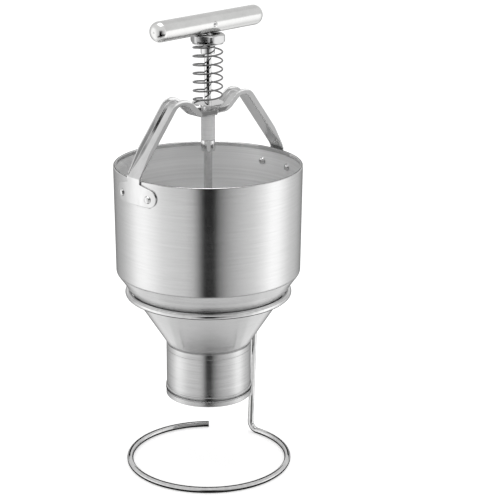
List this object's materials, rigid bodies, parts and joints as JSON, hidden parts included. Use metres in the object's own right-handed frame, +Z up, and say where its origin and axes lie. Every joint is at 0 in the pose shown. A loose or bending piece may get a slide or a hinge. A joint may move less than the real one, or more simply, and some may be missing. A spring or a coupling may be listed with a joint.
{
  "type": "batter dispenser",
  "caption": "Hand batter dispenser: open steel hopper with a short outlet neck on a one-leg wire stand, and a sprung cross-handle plunger guided by an arch.",
  "frame": {"origin": "middle of the stand's foot, on the table", "axes": "+Z up along the plunger's axis; the arch runs along X; the near-left leg of the arch in the picture is at -X"},
  "size_m": [0.1846, 0.18, 0.4487],
  "materials": {
    "brushed_steel": "spun and brushed stainless steel",
    "polished_steel": "polished stainless steel",
    "wire_steel": "bright drawn stainless wire",
    "cast_aluminium": "polished aluminium",
    "guide_nylon": "smooth light grey nylon",
    "seal_rubber": "smooth white silicone"
  },
  "bodies": {
    "stand": {"base_wire": "wire_steel", "support_ring": "wire_steel"},
    "hopper": {"hopper_shell": "brushed_steel", "outlet_tube": "brushed_steel", "arch_arm_left": "polished_steel", "arch_arm_right": "polished_steel", "rivets_left": "polished_steel", "rivets_right": "polished_steel", "guide_bush": "guide_nylon", "guide_nut": "polished_steel"},
    "seat": {"spring_seat": "polished_steel", "return_spring": "wire_steel"},
    "plunger": {"plunger_rod": "polished_steel", "stop_collar": "polished_steel", "handle_bar": "cast_aluminium", "handle_screw": "polished_steel", "upper_piston": "polished_steel", "piston_seal": "seal_rubber", "piston_nut": "polished_steel", "spacer_tube": "polished_steel", "cutter_disc": "polished_steel", "cutter_washer": "polished_steel", "acorn_nut": "polished_steel"},
    "cup": {"spring_cup": "polished_steel"},
    "nut": {"adjusting_nut": "polished_steel"}
  },
  "joints": [
    {"name": "hopper_lift", "type": "slide", "parent": "stand", "child": "hopper", "axis": [0, 0, 1], "range_m": [0, 0.15]},
    {"name": "plunger_spin", "type": "hinge", "parent": "hopper", "child": "seat", "pos_m": [0, 0, 0.364], "axis": [0, 0, 1], "continuous": true},
    {"name": "press", "type": "slide", "parent": "seat", "child": "plunger", "axis": [0, 0, -1], "range_m": [0, 0.028], "stiffness_N_per_m": 600, "springref_m": -0.02, "deforming": ["return_spring"]},
    {"name": "cup_shift", "type": "slide", "parent": "plunger", "child": "cup", "axis": [0, 0, 1], "range_m": [-0.00225, 0]},
    {"name": "nut_turn", "type": "hinge", "parent": "cup", "child": "nut", "pos_m": [0, 0, 0.425], "axis": [0, 0, 1], "range_deg": [-540, 0]}
  ],
  "couplings": [
    {"joint": "cup_shift", "follows": "nut_turn", "m_per_rad": 0.00023873}
  ]
}
